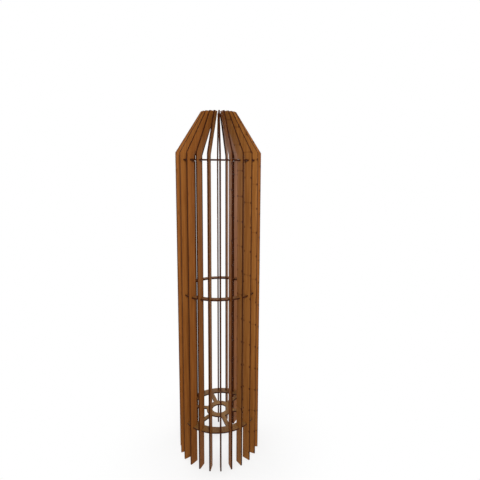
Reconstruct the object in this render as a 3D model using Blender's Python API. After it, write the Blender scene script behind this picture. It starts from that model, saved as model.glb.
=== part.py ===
"""Slatted floor vase cut from thin wooden board.

Upright slats stand in a circle and lean in together at the top to make the
neck.  A spoked base wheel and two plain rings hold the circle.  Every slat
meets every ring in a cross-lap: the ring is notched from its outer edge and
the slat from its inner edge, each to half of the depth that they share.
The front of the vase faces -Y and the slats are counted towards +X.
"""
import bpy
import bmesh
from math import asin, atan2, ceil, cos, pi, radians, sin, tan

# The board that every piece is cut from, and the gap left where pieces meet.
BOARD = 0.003
FIT_GAP = 0.0003

# The slats: straight body, sharp knee, leaning neck, flat top and foot.
SLAT_COUNT = 24
BODY_RADIUS = 0.090
SLAT_WIDTH = 0.018
TOTAL_HEIGHT = 0.754
NECK_RISE = 0.0892
MOUTH_RADIUS = 0.0157

# The rings that hold the slats, set back from the slats' outer edges.
RING_SETBACK = 0.0065
RING_WIDTH = 0.0135
TOP_RING_DROP = 0.0108
MIDDLE_RING_SHARE = 0.51
BASE_LEVEL = 0.083

# The base wheel: a broader rim with straight spokes to a hub that has a round hole.
RIM_WIDTH = 0.0185
SPOKE_COUNT = 6
SPOKE_WIDTH = 0.009
FIRST_SPOKE_SLAT = 1
HUB_HOLE_RADIUS = 0.016
HUB_WIDTH = 0.013

# The largest turn that one straight facet takes on a round edge.
FACET_TURN = radians(5.0)

# Finishes: oiled brown board, a little greyer where the wheel lies flat.
SLAT_COLOUR = (0.310, 0.118, 0.026, 1.0)
RING_COLOUR = (0.290, 0.112, 0.026, 1.0)
WHEEL_COLOUR = (0.225, 0.104, 0.026, 1.0)
BOARD_ROUGHNESS = 0.55

SLAT_TURN = 2.0 * pi / SLAT_COUNT
SPOKE_TURN = 2.0 * pi / SPOKE_COUNT

# Radii that follow: the slats' inner edges, the rings, and where the cross-laps meet.
SLAT_INNER_RADIUS = BODY_RADIUS - SLAT_WIDTH
RING_OUTER_RADIUS = BODY_RADIUS - RING_SETBACK
RING_INNER_RADIUS = RING_OUTER_RADIUS - RING_WIDTH
RIM_INNER_RADIUS = RING_OUTER_RADIUS - RIM_WIDTH
HUB_RADIUS = HUB_HOLE_RADIUS + HUB_WIDTH
LAP_RADIUS = (SLAT_INNER_RADIUS + RING_OUTER_RADIUS) / 2.0

# Heights that follow: the inner corner of the knee and the undersides of the rings.
KNEE_LEVEL = TOTAL_HEIGHT - NECK_RISE
TOP_LEVEL = KNEE_LEVEL - TOP_RING_DROP
MIDDLE_LEVEL = BASE_LEVEL + MIDDLE_RING_SHARE * (TOP_LEVEL - BASE_LEVEL)


def around(along, aside, angle):
    """Point at a distance along and aside of the direction at this angle from the front."""
    return (along * sin(angle) + aside * cos(angle), aside * sin(angle) - along * cos(angle))


def arc(radius, start, end):
    """Points of a round edge from one angle to another, both ends included."""
    steps = max(1, ceil(abs(end - start) / FACET_TURN))
    return [around(radius, 0.0, start + (end - start) * i / steps) for i in range(steps + 1)]


def circle(radius):
    """Points once round a full circle."""
    return arc(radius, 0.0, 2.0 * pi)[:-1]


def slat_outline():
    """Side view of one slat as distance from the axis and height."""
    lean = atan2(SLAT_INNER_RADIUS - MOUTH_RADIUS, NECK_RISE)
    neck_breadth = SLAT_WIDTH / cos(lean)
    outer_knee = KNEE_LEVEL + SLAT_WIDTH * tan(lean / 2.0)
    slot_end = LAP_RADIUS + FIT_GAP / 2.0
    points = [
        (BODY_RADIUS, 0.0),
        (BODY_RADIUS, outer_knee),
        (MOUTH_RADIUS + neck_breadth, TOTAL_HEIGHT),
        (MOUTH_RADIUS, TOTAL_HEIGHT),
        (SLAT_INNER_RADIUS, KNEE_LEVEL),
    ]
    for level in (TOP_LEVEL, MIDDLE_LEVEL, BASE_LEVEL):
        slot_top = level + BOARD + FIT_GAP
        slot_bottom = level - FIT_GAP
        points += [
            (SLAT_INNER_RADIUS, slot_top),
            (slot_end, slot_top),
            (slot_end, slot_bottom),
            (SLAT_INNER_RADIUS, slot_bottom),
        ]
    points.append((SLAT_INNER_RADIUS, 0.0))
    return points


def ring_outline():
    """Outer edge of a ring in plan, with one notch for each slat."""
    half_notch = BOARD / 2.0 + FIT_GAP
    notch_turn = asin(half_notch / RING_OUTER_RADIUS)
    notch_floor = LAP_RADIUS - FIT_GAP / 2.0
    points = []
    for index in range(SLAT_COUNT):
        angle = index * SLAT_TURN
        points.append(around(notch_floor, -half_notch, angle))
        points.append(around(notch_floor, half_notch, angle))
        points += arc(RING_OUTER_RADIUS, angle + notch_turn, angle + SLAT_TURN - notch_turn)
    return points


def wheel_windows():
    """Openings between the spokes of the base wheel, in plan."""
    at_rim = asin(SPOKE_WIDTH / 2.0 / RIM_INNER_RADIUS)
    at_hub = asin(SPOKE_WIDTH / 2.0 / HUB_RADIUS)
    windows = []
    for index in range(SPOKE_COUNT):
        spoke = FIRST_SPOKE_SLAT * SLAT_TURN + index * SPOKE_TURN
        following = spoke + SPOKE_TURN
        rim_edge = arc(RIM_INNER_RADIUS, spoke + at_rim, following - at_rim)
        hub_edge = arc(HUB_RADIUS, following - at_hub, spoke + at_hub)
        windows.append(rim_edge + hub_edge)
    return windows


def cut_board(name, outline, holes, bottom, material):
    """Closed mesh of a piece of board with this outline and these holes."""
    shape = bmesh.new()
    edges = []
    for loop in [outline] + holes:
        corners = [shape.verts.new((u, v, bottom)) for u, v in loop]
        edges += [shape.edges.new(pair) for pair in zip(corners, corners[1:] + corners[:1])]
    filled = bmesh.ops.triangle_fill(shape, edges=edges, use_beauty=True)
    faces = [item for item in filled["geom"] if isinstance(item, bmesh.types.BMFace)]
    raised = bmesh.ops.extrude_face_region(shape, geom=faces, use_keep_orig=True)
    upper = [item for item in raised["geom"] if isinstance(item, bmesh.types.BMVert)]
    bmesh.ops.translate(shape, verts=upper, vec=(0.0, 0.0, BOARD))
    bmesh.ops.recalc_face_normals(shape, faces=shape.faces)
    mesh = bpy.data.meshes.new(name)
    shape.to_mesh(mesh)
    shape.free()
    mesh.materials.append(material)
    return mesh


def finish(name, colour):
    """Plain board finish of one colour."""
    material = bpy.data.materials.new(name)
    material.use_nodes = True
    shader = material.node_tree.nodes["Principled BSDF"]
    shader.inputs["Base Color"].default_value = colour
    shader.inputs["Roughness"].default_value = BOARD_ROUGHNESS
    shader.inputs["Metallic"].default_value = 0.0
    return material


def place(name, mesh, height=0.0, turn=(0.0, 0.0, 0.0)):
    """Put a piece in the scene."""
    piece = bpy.data.objects.new(name, mesh)
    piece.location = (0.0, 0.0, height)
    piece.rotation_euler = turn
    bpy.context.scene.collection.objects.link(piece)


for old in list(bpy.data.objects):
    bpy.data.objects.remove(old, do_unlink=True)

slat_finish = finish("slat_board", SLAT_COLOUR)
ring_finish = finish("ring_board", RING_COLOUR)
wheel_finish = finish("wheel_board", WHEEL_COLOUR)

# All slats are one shape, stood upright and turned to its place in the circle.
slat_mesh = cut_board("slat", slat_outline(), [], -BOARD / 2.0, slat_finish)
for number in range(SLAT_COUNT):
    slat_turn = (pi / 2.0, 0.0, number * SLAT_TURN - pi / 2.0)
    place(f"slat_{number + 1:02d}", slat_mesh, turn=slat_turn)

# The two plain rings are one shape at two heights.
ring_mesh = cut_board("ring", ring_outline(), [circle(RING_INNER_RADIUS)], 0.0, ring_finish)
place("middle_ring", ring_mesh, MIDDLE_LEVEL)
place("top_ring", ring_mesh, TOP_LEVEL)

wheel_holes = wheel_windows() + [circle(HUB_HOLE_RADIUS)]
wheel_mesh = cut_board("base_wheel", ring_outline(), wheel_holes, 0.0, wheel_finish)
place("base_wheel", wheel_mesh, BASE_LEVEL)
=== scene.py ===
# %% [markdown]
# # A slatted floor vase, dressed for its portrait
#
# The vase is a circle of thin upright boards that lean in at the top to make a
# neck.  A spoked wheel near the floor and two plain rings hold the boards.
# The pieces could be modelled again here, but they already exist at their true
# size, so they are loaded and never moved.  This lesson is about their looks:
# how oiled board differs on its broad face, near a cut and on the cut itself.

# %% Load the pieces
from math import atan2, cos, pi, radians, sin, tan

import bpy
from mathutils import Matrix, Vector


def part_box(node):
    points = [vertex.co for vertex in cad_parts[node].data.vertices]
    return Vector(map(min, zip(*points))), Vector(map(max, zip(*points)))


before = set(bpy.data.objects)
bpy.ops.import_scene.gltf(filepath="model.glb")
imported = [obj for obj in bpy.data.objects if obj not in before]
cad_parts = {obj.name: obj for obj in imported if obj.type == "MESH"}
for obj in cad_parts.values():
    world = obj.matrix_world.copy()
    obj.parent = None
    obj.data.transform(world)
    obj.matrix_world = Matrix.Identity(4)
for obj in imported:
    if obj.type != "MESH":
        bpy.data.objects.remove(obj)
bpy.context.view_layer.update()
slats = [piece for name, piece in sorted(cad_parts.items())
         if name.startswith("slat_")]
base_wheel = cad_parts["base_wheel"]
middle_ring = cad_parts["middle_ring"]
top_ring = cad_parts["top_ring"]
flat_pieces = [base_wheel, middle_ring, top_ring]
print("slats:", len(slats), "and", [piece.name for piece in flat_pieces])

# %% [markdown]
# ## Where the cuts are
#
# A laser leaves the board darkest at the cut and lightly toasted beside it.  To
# paint that, a material has to know how far each point is from the nearest cut.
# The toast could be painted on each mesh by hand, but the vase is round, so a
# few radii and heights describe every outline, and sums stay sharp however
# close the camera comes.  A piece's own box gives the sizes that it shows.

# %% Sizes that the boxes show
slat_low, slat_high = (Vector(corner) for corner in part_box("slat_01"))
ring_high = Vector(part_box("middle_ring")[1])

BODY_RADIUS = -slat_low.y
MOUTH_RADIUS = -slat_high.y
TOTAL_HEIGHT = slat_high.z
BOARD = slat_high.x - slat_low.x
RING_OUTER = ring_high.x
RING_LEVELS = [sum(corner[2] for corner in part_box(piece.name)) / 2.0
               for piece in flat_pieces]
print("body radius", round(BODY_RADIUS, 4), "height", round(TOTAL_HEIGHT, 4))
print("ring levels", [round(level, 4) for level in RING_LEVELS])

# %% Sizes inside the boxes, and what follows from them
SLAT_WIDTH = 0.018
KNEE_INNER_LEVEL = 0.6648
RING_INNER = 0.070
RIM_INNER = 0.065
HUB_OUTER = 0.029
HUB_HOLE = 0.016
HALF_SPOKE = 0.0045
SPOKE_COUNT = 6

SLAT_INNER = BODY_RADIUS - SLAT_WIDTH
LEAN = atan2(SLAT_INNER - MOUTH_RADIUS, TOTAL_HEIGHT - KNEE_INNER_LEVEL)
KNEE_OUTER_LEVEL = KNEE_INNER_LEVEL + SLAT_WIDTH * tan(LEAN / 2.0)
SLOT_END = (SLAT_INNER + RING_OUTER) / 2.0
SLAT_TURN = 2.0 * pi / len(slats)
SPOKE_TURN = 2.0 * pi / SPOKE_COUNT
print("outer knee at", round(KNEE_OUTER_LEVEL, 4), "slots end at", round(SLOT_END, 4))

# %% [markdown]
# ## A small language for shader sums
#
# A finish that measures distances needs many sums, and one node for each of
# them.  The nodes could be joined by hand in the Shader Editor, but dozens of
# wires are hard to read.  These helpers make a node, feed it and hand back its
# result, so that the finishes below read like ordinary formulas.

# %% Helpers for sums
def feed(tree, socket, value):
    """Join a result to a socket, or set the socket to a plain value."""
    if isinstance(value, bpy.types.NodeSocket):
        tree.links.new(value, socket)
    else:
        socket.default_value = value


def sums(tree, operation, *values):
    """One Math node."""
    node = tree.nodes.new("ShaderNodeMath")
    node.operation = operation
    for socket, value in zip(node.inputs, values):
        feed(tree, socket, value)
    return node.outputs[0]


def least(tree, *values):
    """The smallest of several results."""
    result = values[0]
    for value in values[1:]:
        result = sums(tree, "MINIMUM", result, value)
    return result


def most(tree, *values):
    """The largest of several results."""
    result = values[0]
    for value in values[1:]:
        result = sums(tree, "MAXIMUM", result, value)
    return result


def weigh(tree, *parts):
    """The sum of several results, each times its own weight."""
    value, weight = parts[0]
    total = sums(tree, "MULTIPLY", value, weight)
    for value, weight in parts[1:]:
        total = sums(tree, "MULTIPLY_ADD", value, weight, total)
    return total


def fade(tree, value, start, end, from_amount=0.0, to_amount=1.0):
    """A smooth change from one amount to another between two values."""
    node = tree.nodes.new("ShaderNodeMapRange")
    node.interpolation_type = "SMOOTHSTEP"
    feed(tree, node.inputs["Value"], value)
    node.inputs["From Min"].default_value = start
    node.inputs["From Max"].default_value = end
    node.inputs["To Min"].default_value = from_amount
    node.inputs["To Max"].default_value = to_amount
    return node.outputs["Result"]


print("helpers for sums ready")

# %% Helpers for patterns and colours
def join(tree, x, y, z):
    """Three results as one vector."""
    node = tree.nodes.new("ShaderNodeCombineXYZ")
    for socket, value in zip(node.inputs, (x, y, z)):
        feed(tree, socket, value)
    return node.outputs[0]


def grain(tree, vector, scale, detail, roughness=0.55):
    """A Noise texture read along a vector."""
    node = tree.nodes.new("ShaderNodeTexNoise")
    tree.links.new(vector, node.inputs["Vector"])
    node.inputs["Scale"].default_value = scale
    node.inputs["Detail"].default_value = detail
    node.inputs["Roughness"].default_value = roughness
    return node.outputs["Fac"]


def draw_lot(tree, number):
    """A White Noise node: its outputs are drawn at random for each number."""
    node = tree.nodes.new("ShaderNodeTexWhiteNoise")
    node.noise_dimensions = "1D"
    tree.links.new(number, node.inputs["W"])
    return node.outputs


def blend(tree, amount, first, second, mode="MIX"):
    """Two colours mixed by an amount."""
    node = tree.nodes.new("ShaderNodeMix")
    node.data_type = "RGBA"
    node.blend_type = mode
    feed(tree, node.inputs["Factor"], amount)
    feed(tree, node.inputs["A"], first)
    feed(tree, node.inputs["B"], second)
    return node.outputs["Result"]


print("helpers for patterns and colours ready")

# %% Helpers for the place and the facing of a point
def place_in_vase(tree):
    """A point's place in the vase: x, y, height and distance from the axis."""
    source = tree.nodes.new("ShaderNodeTexCoord")
    split = tree.nodes.new("ShaderNodeSeparateXYZ")
    tree.links.new(source.outputs["Object"], split.inputs[0])
    x, y, height = split.outputs
    reach = sums(tree, "SQRT", weigh(tree, (x, x), (y, y)))
    return x, y, height, reach


def facing(tree):
    """The three parts of the direction that the surface faces."""
    source = tree.nodes.new("ShaderNodeNewGeometry")
    split = tree.nodes.new("ShaderNodeSeparateXYZ")
    tree.links.new(source.outputs["Normal"], split.inputs[0])
    return split.outputs


def turn_from_front(tree, x, y):
    """Angle round the axis, counted from the front slat."""
    return sums(tree, "ARCTAN2", x, sums(tree, "MULTIPLY", y, -1.0))


print("helpers for place and facing ready")

# %% [markdown]
# ## The face of oiled board
#
# All pieces are cut from one kind of board, warm brown under its oil, with fine
# fibres that run in streaks.  A picture of board could be wrapped round each
# piece, but it would blur close up and repeat from slat to slat.  Three Noise
# textures, stretched along the fibres, give clouds, streaks and fuzz instead.
# Colour, roughness and bump share them, so gloss and grain stay in step.

# %% Board face
FACE_LIGHT = (0.392, 0.156, 0.035, 1.0)
FACE_DEEP = (0.267, 0.096, 0.018, 1.0)
STREAK_SCALE, CLOUD_SCALE, FUZZ_SCALE = 260.0, 38.0, 1500.0
STREAK_SHARE, CLOUD_SHARE, FUZZ_SHARE = 0.62, 0.28, 0.10
DEEP_UNDER, LIGHT_OVER = 0.34, 0.66


def fibre_patterns(tree, fibres):
    """Streaks, clouds and fuzz of the board."""
    streaks = grain(tree, fibres, STREAK_SCALE, detail=4.0, roughness=0.62)
    clouds = grain(tree, fibres, CLOUD_SCALE, detail=2.0)
    fuzz = grain(tree, fibres, FUZZ_SCALE, detail=2.0, roughness=0.7)
    return streaks, clouds, fuzz


def plain_face(tree, streaks, clouds, fuzz, tone):
    """Colour of the broad face where nothing is burnt."""
    mixed = weigh(tree, (streaks, STREAK_SHARE), (clouds, CLOUD_SHARE),
                  (fuzz, FUZZ_SHARE))
    face = blend(tree, fade(tree, mixed, DEEP_UNDER, LIGHT_OVER), FACE_DEEP, FACE_LIGHT)
    return blend(tree, 1.0, face, tone, "MULTIPLY")


print("face colours", FACE_LIGHT[:3], FACE_DEEP[:3])

# %% [markdown]
# ## Toast and specks
#
# Beside every cut the heat leaves a thin toasted line and a few dark specks.
# A straight dark line would do from afar, but real toast wanders.  So the
# distance to the cut is shifted a little by the clouds before it fades out, and
# the specks are the peaks of one more noise, frequent only near the cut.

# %% Toasted line and specks
TOASTED = (0.088, 0.025, 0.005, 1.0)
TOAST_REACH, TOAST_AMOUNT = 0.0013, 0.36
TOAST_WANDER = 0.0030
SPECK_SCALE = 520.0
SPECK_RIM, SPECK_HEART = 0.68, 0.74
SPECKS_NEAR, SPECKS_FAR = 0.0015, 0.0065
SPECKS_AT_CUT, SPECKS_ELSEWHERE = 0.75, 0.06
MIDDLE = 0.5


def toasted_line(tree, cut_distance, clouds):
    """Toast beside the cuts."""
    wander = sums(tree, "MULTIPLY", sums(tree, "SUBTRACT", clouds, MIDDLE), TOAST_WANDER)
    wandering = sums(tree, "ADD", cut_distance, wander)
    return fade(tree, wandering, 0.0, TOAST_REACH, TOAST_AMOUNT, 0.0)


def soot_specks(tree, cut_distance, fibres):
    """Small dark specks, most of them near a cut."""
    peaks = grain(tree, fibres, SPECK_SCALE, detail=1.0)
    near_cut = fade(tree, cut_distance, SPECKS_NEAR, SPECKS_FAR,
                    SPECKS_AT_CUT, SPECKS_ELSEWHERE)
    return sums(tree, "MULTIPLY", fade(tree, peaks, SPECK_RIM, SPECK_HEART), near_cut)


print("toast reaches", TOAST_REACH * 1000.0, "mm from a cut")

# %% [markdown]
# ## Marks of the laser bed
#
# Under the laser, the board lies on a bed of thin bars.  Where the beam crosses
# a bar, it flashes back and scorches the lower face: a tick at the cut, and
# sometimes a faint line right across.  Grooves would be wrong, as the marks
# have no depth, so they are colour.  The rows repeat at the spacing of the
# bars, a lot decides how strongly each shows, and the fuzz frays its rim.

# %% Bed marks
BED_SPACING = 0.0502
MARK_HEART, MARK_RIM = 0.0005, 0.0018
MARK_FRAY = 0.0022
MARK_FLARE, FLARE_REACH = 0.0014, 0.0040
LINE_SHOWS_FROM, LINE_AMOUNT = 0.30, 0.42
TICK_FROM, TICK_REACH, TICK_AMOUNT = 0.0008, 0.0042, 0.95


def bed_marks(tree, along, bed_shift, bed_side, cut_distance, fuzz):
    """Scorch marks of the bed's bars, on the face that lay on them."""
    rows = sums(tree, "ADD", sums(tree, "DIVIDE", along, BED_SPACING), bed_shift)
    off_middle = sums(tree, "SUBTRACT", sums(tree, "FRACT", rows), MIDDLE)
    from_row = sums(tree, "MULTIPLY", BED_SPACING, sums(tree, "ABSOLUTE", off_middle))
    frayed = sums(tree, "MULTIPLY_ADD", sums(tree, "SUBTRACT", fuzz, MIDDLE),
                  MARK_FRAY, from_row)
    flared = sums(tree, "SUBTRACT", frayed,
                  fade(tree, cut_distance, 0.0, FLARE_REACH, MARK_FLARE, 0.0))
    mark = fade(tree, flared, MARK_HEART, MARK_RIM, 1.0, 0.0)
    row_lot = draw_lot(tree, sums(tree, "FLOOR", rows))
    line = fade(tree, row_lot["Value"], LINE_SHOWS_FROM, 1.0, 0.0, LINE_AMOUNT)
    tick = fade(tree, cut_distance, TICK_FROM, TICK_REACH, TICK_AMOUNT, 0.0)
    strength = sums(tree, "MULTIPLY", bed_side, most(tree, line, tick))
    return sums(tree, "MULTIPLY", mark, strength)


print("bed marks every", round(BED_SPACING * 1000.0, 1), "mm")

# %% [markdown]
# ## The burnt cut, and the whole board
#
# The cut is burnt to a dark red brown, with fine lines where the beam pulsed.
# It could be a second material on the edge faces, but the softened edges have
# to run smoothly from face to cut.  So one function makes the whole board and
# mixes the two.  A slat and a ring differ only in where the fibres run and how
# far the cuts are, and those come in from outside.

# %% Burnt cut
BURNT = (0.046, 0.0100, 0.0014, 1.0)
PULSE_SCALE = 2400.0
PULSE_FROM, PULSE_FULL, PULSE_AMOUNT = 0.45, 0.85, 0.16


def pulse_lines(tree, along):
    """Fine lines across a cut."""
    node = tree.nodes.new("ShaderNodeTexNoise")
    node.noise_dimensions = "1D"
    tree.links.new(along, node.inputs["W"])
    node.inputs["Scale"].default_value = PULSE_SCALE
    node.inputs["Detail"].default_value = 1.0
    return node.outputs["Fac"]


def burnt_cut(tree, pulses):
    """Colour of a cut edge."""
    lighter = fade(tree, pulses, PULSE_FROM, PULSE_FULL, 0.0, PULSE_AMOUNT)
    return blend(tree, lighter, BURNT, TOASTED)


print("burnt colour", BURNT[:3])

# %% Whole board
DRY_ROUGHNESS, OIL_IN_STREAKS, CHAR_ROUGHNESS = 0.64, -0.22, 0.30
STREAK_RELIEF, FUZZ_RELIEF, PULSE_RELIEF = 0.6, 0.4, 0.5
RELIEF_STRENGTH, RELIEF_DEPTH = 0.22, 0.0004


def board_finish(tree, fibres, cut_distance, on_cut, bed_side, bed_shift, along,
                 tone, gloss):
    """Fill a material with oiled board.

    fibres        vector with the fibre direction along its second part
    cut_distance  distance in metres to the nearest cut
    on_cut        0 on a broad face and 1 on a cut edge
    bed_side      1 on the face that lay on the bed of the laser and 0 on the other
    bed_shift     where the piece lay on that bed, in rows of its bars
    along         place along the piece, for the rows and the lines across the cut
    tone          colour that this piece of board is multiplied by
    gloss         how much of the surroundings the oil reflects
    """
    streaks, clouds, fuzz = fibre_patterns(tree, fibres)
    pulses = pulse_lines(tree, along)
    toast = most(tree, toasted_line(tree, cut_distance, clouds),
                 soot_specks(tree, cut_distance, fibres),
                 bed_marks(tree, along, bed_shift, bed_side, cut_distance, fuzz))
    face = blend(tree, toast, plain_face(tree, streaks, clouds, fuzz, tone), TOASTED)

    shader = tree.nodes["Principled BSDF"]
    feed(tree, shader.inputs["Base Color"],
         blend(tree, on_cut, face, burnt_cut(tree, pulses)))
    oiled = sums(tree, "MULTIPLY_ADD", streaks, OIL_IN_STREAKS, DRY_ROUGHNESS)
    feed(tree, shader.inputs["Roughness"],
         sums(tree, "MULTIPLY_ADD", on_cut, CHAR_ROUGHNESS, oiled))
    shader.inputs["Specular IOR Level"].default_value = gloss

    pulses_on_cut = sums(tree, "MULTIPLY", on_cut, pulses)
    relief = weigh(tree, (streaks, STREAK_RELIEF), (fuzz, FUZZ_RELIEF),
                   (pulses_on_cut, PULSE_RELIEF))
    bump = tree.nodes.new("ShaderNodeBump")
    bump.inputs["Strength"].default_value = RELIEF_STRENGTH
    bump.inputs["Distance"].default_value = RELIEF_DEPTH
    tree.links.new(relief, bump.inputs["Height"])
    tree.links.new(bump.outputs["Normal"], shader.inputs["Normal"])


print("relief of the fibres", RELIEF_DEPTH * 1000.0, "mm")

# %% Helpers to make a finish and give it to a piece
def new_finish(name):
    """An empty node material and its tree."""
    material = bpy.data.materials.new(name)
    material.use_nodes = True
    return material, material.node_tree


def dress(piece, material):
    """Give a piece one finish."""
    piece.data.materials.clear()
    piece.data.materials.append(material)


print("ready to dress", len(slats) + len(flat_pieces), "pieces")

# %% [markdown]
# ## The slats
#
# A slat is one long board with a knee.  Each could have a material of its own,
# but all slats are the same shape turned round the axis, so one material serves
# them all if it measures from the axis.  The outer outline is the nearer of two
# straight lines, body and neck.  The inner outline bends the other way, so
# there the farther line counts.

# %% How far a point on a slat is from a cut
slat_finish, tree = new_finish("oiled_slat")
x, y, height, reach = place_in_vase(tree)

from_outer = sums(tree, "SUBTRACT", BODY_RADIUS, reach)
over_outer_knee = sums(tree, "SUBTRACT", height, KNEE_OUTER_LEVEL)
from_outer_neck = weigh(tree, (from_outer, cos(LEAN)), (over_outer_knee, -sin(LEAN)))

from_inner = sums(tree, "SUBTRACT", reach, SLAT_INNER)
over_inner_knee = sums(tree, "SUBTRACT", height, KNEE_INNER_LEVEL)
from_inner_neck = weigh(tree, (from_inner, cos(LEAN)), (over_inner_knee, sin(LEAN)))

from_ends = least(tree, height, sums(tree, "SUBTRACT", TOTAL_HEIGHT, height))
beyond_slot = sums(tree, "SUBTRACT", reach, SLOT_END)
from_slots = []
for level in RING_LEVELS:
    off_level = sums(tree, "ABSOLUTE", sums(tree, "SUBTRACT", height, level))
    clear_of_ring = sums(tree, "SUBTRACT", off_level, BOARD / 2.0)
    from_slots.append(most(tree, clear_of_ring, beyond_slot))

slat_cut_distance = least(tree, from_outer, from_outer_neck,
                          most(tree, from_inner, from_inner_neck),
                          from_ends, *from_slots)
print("slat outline: body, neck and ends, and", len(from_slots), "slots")

# %% [markdown]
# ## Faces and cuts of a slat
#
# The broad faces of a slat look sideways round the circle, and everything that
# looks out, in, up or down is a cut.  The faces could be picked one by one, but
# the direction in which a point faces tells it as well.  It also tells which of
# the two broad faces lay on the bed: the same one on every slat, because they
# were all put into the circle the same way round.

# %% Which way a slat's surface faces
CUT_FROM, CUT_FULL = 0.25, 0.60
SIDE_CHANGE = 0.5

face_x, face_y, face_z = facing(tree)
outward = sums(tree, "DIVIDE", weigh(tree, (face_x, x), (face_y, y)), reach)
off_side = weigh(tree, (outward, outward), (face_z, face_z))
slat_on_cut = fade(tree, off_side, CUT_FROM, CUT_FULL)

crosswise = sums(tree, "SUBTRACT", sums(tree, "MULTIPLY", face_y, x),
                 sums(tree, "MULTIPLY", face_x, y))
sideways = sums(tree, "DIVIDE", crosswise, reach)
slat_bed_side = fade(tree, sideways, -SIDE_CHANGE, SIDE_CHANGE, 1.0, 0.0)
print("a cut begins where the square of the turn passes", CUT_FROM)

# %% [markdown]
# ## Each slat its own board
#
# Boards from one sheet never match quite: some are lighter, some yellower.  A
# list of colours would work, but a lot drawn by the slat's number in the circle
# is shorter and comes out the same in every run.  The number also moves each
# slat's fibres to another part of the sheet.  The bed marks climb by about a
# quarter of a row from one slat to the next, as if the slats were cut side by
# side, each set off a little.  The whole rows between give each its own lots.

# %% Tone, fibres and bed rows of each slat
TONE_DRAW = 85693.0
DARKEST, TONE_SPREAD = 0.90, 0.20
FIBRE_STRETCH = 0.045
SHEET_STEP = 0.37
ROWS_PER_SLAT = 31.28
FIRST_ROW = 0.291

slat_turns = sums(tree, "DIVIDE", turn_from_front(tree, x, y), SLAT_TURN)
number = sums(tree, "FLOORED_MODULO", sums(tree, "ROUND", slat_turns), float(len(slats)))

lot = draw_lot(tree, sums(tree, "ADD", number, TONE_DRAW))
lot_parts = tree.nodes.new("ShaderNodeSeparateColor")
tree.links.new(lot["Color"], lot_parts.inputs["Color"])
bright = sums(tree, "MULTIPLY_ADD", lot["Value"], TONE_SPREAD, DARKEST)
yellow = sums(tree, "MULTIPLY_ADD", lot_parts.outputs["Green"], TONE_SPREAD, DARKEST)
green_part = sums(tree, "MULTIPLY", bright, yellow)
slat_tone = join(tree, bright, green_part, sums(tree, "MULTIPLY", green_part, yellow))

slat_fibres = join(tree, reach, sums(tree, "MULTIPLY", height, FIBRE_STRETCH),
                   sums(tree, "MULTIPLY", number, SHEET_STEP))
slat_bed_shift = sums(tree, "MULTIPLY_ADD", number, ROWS_PER_SLAT, FIRST_ROW)
print("slat tones from", DARKEST, "to", DARKEST + TONE_SPREAD)

# %% Dress the slats
SLAT_GLOSS = 0.08

board_finish(tree, slat_fibres, slat_cut_distance, slat_on_cut, slat_bed_side,
             slat_bed_shift, height, slat_tone, SLAT_GLOSS)
for slat in slats:
    dress(slat, slat_finish)
print("slat finish:", len(tree.nodes), "nodes on", len(slats), "slats")

# %% [markdown]
# ## The rings and the wheel
#
# These lie flat, so their broad faces look up and down and everything else on
# them is a cut.  Their fibres run straight across the sheet that they were cut
# from.  A plain ring has two round cuts.  The wheel adds its hub and the
# straight sides of its spokes.  Every spoke could be measured in turn, but
# folding the circle into one sector finds them all with a single sum.

# %% How far a point on a flat piece is from a cut
def ring_cut_distance(tree, reach):
    """Distance to the two round cuts of a plain ring."""
    return least(tree, sums(tree, "SUBTRACT", RING_OUTER, reach),
                 sums(tree, "SUBTRACT", reach, RING_INNER))


def wheel_cut_distance(tree, reach, turn, first_spoke):
    """Distance to the cuts of the wheel; the first spoke is given by its angle."""
    sector = sums(tree, "FLOORED_MODULO",
                  sums(tree, "ADD", turn, SPOKE_TURN / 2.0 - first_spoke), SPOKE_TURN)
    off_spoke = sums(tree, "SINE", sums(tree, "SUBTRACT", sector, SPOKE_TURN / 2.0))
    aside = sums(tree, "ABSOLUTE", sums(tree, "MULTIPLY", reach, off_spoke))
    in_board = most(tree, sums(tree, "SUBTRACT", HALF_SPOKE, aside),
                    sums(tree, "SUBTRACT", reach, RIM_INNER),
                    sums(tree, "SUBTRACT", HUB_OUTER, reach))
    return least(tree, sums(tree, "SUBTRACT", RING_OUTER, reach), in_board,
                 sums(tree, "SUBTRACT", reach, HUB_HOLE))


print("sector of one spoke:", round(SPOKE_TURN / SLAT_TURN), "slats")

# %% Finish of a flat piece
FLAT_FROM, FLAT_FULL = 0.45, 0.80
FLAT_ROW = 0.6


def flat_piece_finish(name, tone, gloss, first_spoke=None):
    """Board finish for a piece that lies flat, with spokes or without."""
    material, tree = new_finish(name)
    x, y, height, reach = place_in_vase(tree)
    upward = facing(tree)[2]
    turn = turn_from_front(tree, x, y)
    if first_spoke is None:
        cut_distance = ring_cut_distance(tree, reach)
    else:
        cut_distance = wheel_cut_distance(tree, reach, turn, first_spoke)
    on_cut = fade(tree, sums(tree, "ABSOLUTE", upward), FLAT_FROM, FLAT_FULL, 1.0, 0.0)
    bed_side = fade(tree, upward, -SIDE_CHANGE, SIDE_CHANGE, 1.0, 0.0)
    fibres = join(tree, x, sums(tree, "MULTIPLY", y, FIBRE_STRETCH), height)
    along = sums(tree, "MULTIPLY", turn, RING_OUTER)
    board_finish(tree, fibres, cut_distance, on_cut, bed_side, FLAT_ROW, along, tone, gloss)
    return material


print("flat pieces lay on the bed at row", FLAT_ROW)

# %% Dress the rings and the wheel
RING_TONE, RING_GLOSS = (0.66, 0.69, 0.72, 1.0), 0.15
WHEEL_TONE, WHEEL_GLOSS = (0.75, 0.92, 1.00, 1.0), 0.35

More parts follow.
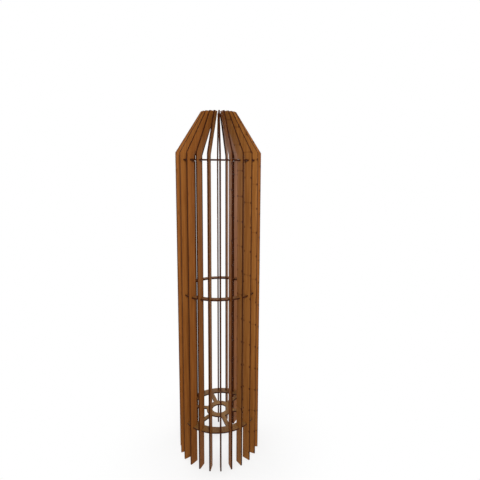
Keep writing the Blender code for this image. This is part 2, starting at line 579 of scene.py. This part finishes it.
ring_finish = flat_piece_finish("oiled_ring", RING_TONE, RING_GLOSS)
wheel_finish = flat_piece_finish("oiled_wheel", WHEEL_TONE, WHEEL_GLOSS,
                                 first_spoke=SLAT_TURN)
dress(middle_ring, ring_finish)
dress(top_ring, ring_finish)
dress(base_wheel, wheel_finish)
print("ring and wheel finishes:", ring_finish.name, wheel_finish.name)

# %% [markdown]
# ## Softened edges
#
# No cut board has a perfectly sharp corner, and a sharp one catches no light.
# The corners could be rounded in the meshes, but a modifier leaves the loaded
# meshes as they are.  So each piece gets a very small Bevel for its thin bright
# line.  The pieces come with split corners, and a Weld joins them first.

# %% Soften the edges
EDGE_ROUNDING = 0.00022
ROUNDING_STEPS = 2
SHARPER_THAN = radians(40.0)
SAME_CORNER = 0.00001

for piece in slats + flat_pieces:
    weld = piece.modifiers.new("joined_corners", "WELD")
    weld.merge_threshold = SAME_CORNER
    soften = piece.modifiers.new("softened_edges", "BEVEL")
    soften.width = EDGE_ROUNDING
    soften.segments = ROUNDING_STEPS
    soften.limit_method = "ANGLE"
    soften.angle_limit = SHARPER_THAN
print("edges softened by", EDGE_ROUNDING * 1000.0, "mm")

# %% [markdown]
# ## Floor and white surroundings
#
# The vase stands on a plain pale floor that takes its soft shadow, in front of
# plain white.  A curved backdrop is the usual way in a studio, but its bend can
# show between the slats.  Here the floor turns to pure white away from the
# vase, and so does the world, but only for what is seen: other light meets a
# duller floor and world, so that the whiteness doesn't flood the vase.

# %% Floor
FLOOR_HALF = 12.0
PALE = (0.96, 0.96, 0.96, 1.0)
BOUNCE = (0.62, 0.62, 0.62, 1.0)

floor_mesh = bpy.data.meshes.new("floor")
floor_mesh.from_pydata(
    [(-FLOOR_HALF, -FLOOR_HALF, 0.0), (FLOOR_HALF, -FLOOR_HALF, 0.0),
     (FLOOR_HALF, FLOOR_HALF, 0.0), (-FLOOR_HALF, FLOOR_HALF, 0.0)], [], [(0, 1, 2, 3)])
floor = bpy.data.objects.new("floor", floor_mesh)
bpy.context.scene.collection.objects.link(floor)
print("floor", 2.0 * FLOOR_HALF, "m wide")

# %% Floor finish
FLOOR_ROUGHNESS, FLOOR_GLOSS = 0.9, 0.1
SHADE_REACH, WHITE_FROM, WHITE_AT_VASE = 0.05, 0.30, 0.72


def plainly_seen(tree):
    """1 for what is seen directly, mirrored or through glass, and 0 for other light."""
    paths = tree.nodes.new("ShaderNodeLightPath").outputs
    return most(tree, paths["Is Camera Ray"], paths["Is Glossy Ray"],
                paths["Is Transmission Ray"])


floor_finish, tree = new_finish("pale_floor")
shader = tree.nodes["Principled BSDF"]
shader.inputs["Roughness"].default_value = FLOOR_ROUGHNESS
shader.inputs["Specular IOR Level"].default_value = FLOOR_GLOSS
seen = plainly_seen(tree)
feed(tree, shader.inputs["Base Color"], blend(tree, seen, BOUNCE, PALE))
from_vase = place_in_vase(tree)[3]
whiteness = fade(tree, from_vase, SHADE_REACH, WHITE_FROM, WHITE_AT_VASE, 1.0)
white = tree.nodes.new("ShaderNodeEmission")
choose = tree.nodes.new("ShaderNodeMixShader")
tree.links.new(sums(tree, "MULTIPLY", seen, whiteness), choose.inputs["Fac"])
tree.links.new(shader.outputs["BSDF"], choose.inputs[1])
tree.links.new(white.outputs["Emission"], choose.inputs[2])
tree.links.new(choose.outputs["Shader"], tree.nodes["Material Output"].inputs["Surface"])
dress(floor, floor_finish)
print("floor is plain white from", WHITE_FROM, "m")

# %% World
WHITE = (1.0, 1.0, 1.0, 1.0)
AMBIENT = 0.40

world = bpy.data.worlds.new("white_studio")
bpy.context.scene.world = world
world.use_nodes = True
tree = world.node_tree
backdrop = tree.nodes["Background"]
backdrop.inputs["Color"].default_value = WHITE
feed(tree, backdrop.inputs["Strength"],
     sums(tree, "MULTIPLY_ADD", plainly_seen(tree), 1.0 - AMBIENT, AMBIENT))
print("ambient light", AMBIENT)

# %% [markdown]
# ## Soft light
#
# The picture has a frontal light: a board is brighter the more it turns its face
# to the camera, and the light falls off towards the floor.  One large lamp
# overhead would be simpler, but it would light the lying rings most.  So a
# small lamp stands just above the camera, where its shadows hide behind the
# boards that cast them.  Three broad, softer ones stand low at both sides and
# behind.  They light the upright faces there, because the vase is looked at
# from all round, and they leave the lying rings and the front as they are.

# %% Lamps
AIM = Vector((0.0, 0.0, 0.45))
SMALL, BROAD = 0.32, 1.1


def soft_lamp(name, place, size, power):
    """A square area lamp that looks at the middle of the vase."""
    data = bpy.data.lights.new(name, "AREA")
    data.size = size
    data.energy = power
    lamp = bpy.data.objects.new(name, data)
    lamp.location = place
    lamp.rotation_euler = (AIM - Vector(place)).to_track_quat("-Z", "Y").to_euler()
    bpy.context.scene.collection.objects.link(lamp)


soft_lamp("front_side", (0.05, -1.25, 1.05), SMALL, 11.0)
soft_lamp("left_side", (-1.7, 0.8, 0.65), BROAD, 15.0)
soft_lamp("right_side", (1.7, 0.8, 0.65), BROAD, 15.0)
soft_lamp("far_side", (-0.9, 1.6, 0.65), BROAD, 13.0)

# %% [markdown]
# ## The camera
#
# The picture is taken close, at the height of the top ring, with a fairly wide
# lens.  That is why the top ring shows as a line while the wheel shows its
# face.  The camera could be set by eye, but the slats make small errors plain.
# So its values come from matching the corners of slats, and the small shift
# keeps the vase left of the middle as in the picture.

# %% Directions of the camera
STAND_OFF = 0.846
EYE_HEIGHT = 0.652
VASE_TURN = radians(1.8)
LOOK_RIGHT = radians(5.310)
LOOK_DOWN = radians(8.096)
TILT = radians(0.59)

level_ahead = Vector((sin(LOOK_RIGHT), cos(LOOK_RIGHT), 0.0))
level_right = Vector((cos(LOOK_RIGHT), -sin(LOOK_RIGHT), 0.0))
upright = Vector((0.0, 0.0, 1.0))
ahead = cos(LOOK_DOWN) * level_ahead - sin(LOOK_DOWN) * upright
untilted = cos(LOOK_DOWN) * upright + sin(LOOK_DOWN) * level_ahead
right = cos(TILT) * level_right + sin(TILT) * untilted
above = cos(TILT) * untilted - sin(TILT) * level_right
axes = Matrix((right, above, -ahead)).transposed().to_4x4()
stand = Matrix.Translation((0.0, -STAND_OFF, EYE_HEIGHT))
print("camera stands", STAND_OFF, "m off and", EYE_HEIGHT, "m high")

# %% Camera
IMAGE_SIDE = 480.0
FOCAL_PIXELS = 393.9
AXIS_X, AXIS_Y = 255.1, 218.1
SENSOR = 36.0
NEAREST_SEEN = 0.01

camera_data = bpy.data.cameras.new("portrait")
camera_data.sensor_width = SENSOR
camera_data.lens = SENSOR * FOCAL_PIXELS / IMAGE_SIDE
camera_data.shift_x = (IMAGE_SIDE / 2.0 - AXIS_X) / IMAGE_SIDE
camera_data.shift_y = (AXIS_Y - IMAGE_SIDE / 2.0) / IMAGE_SIDE
camera_data.clip_start = NEAREST_SEEN
camera = bpy.data.objects.new("portrait", camera_data)
camera.matrix_world = Matrix.Rotation(-VASE_TURN, 4, "Z") @ stand @ axes
bpy.context.scene.collection.objects.link(camera)
bpy.context.scene.camera = camera
bpy.context.scene.view_settings.view_transform = "Standard"
print("lens", round(camera_data.lens, 1), "mm, shift", round(camera_data.shift_x, 3),
      round(camera_data.shift_y, 3))
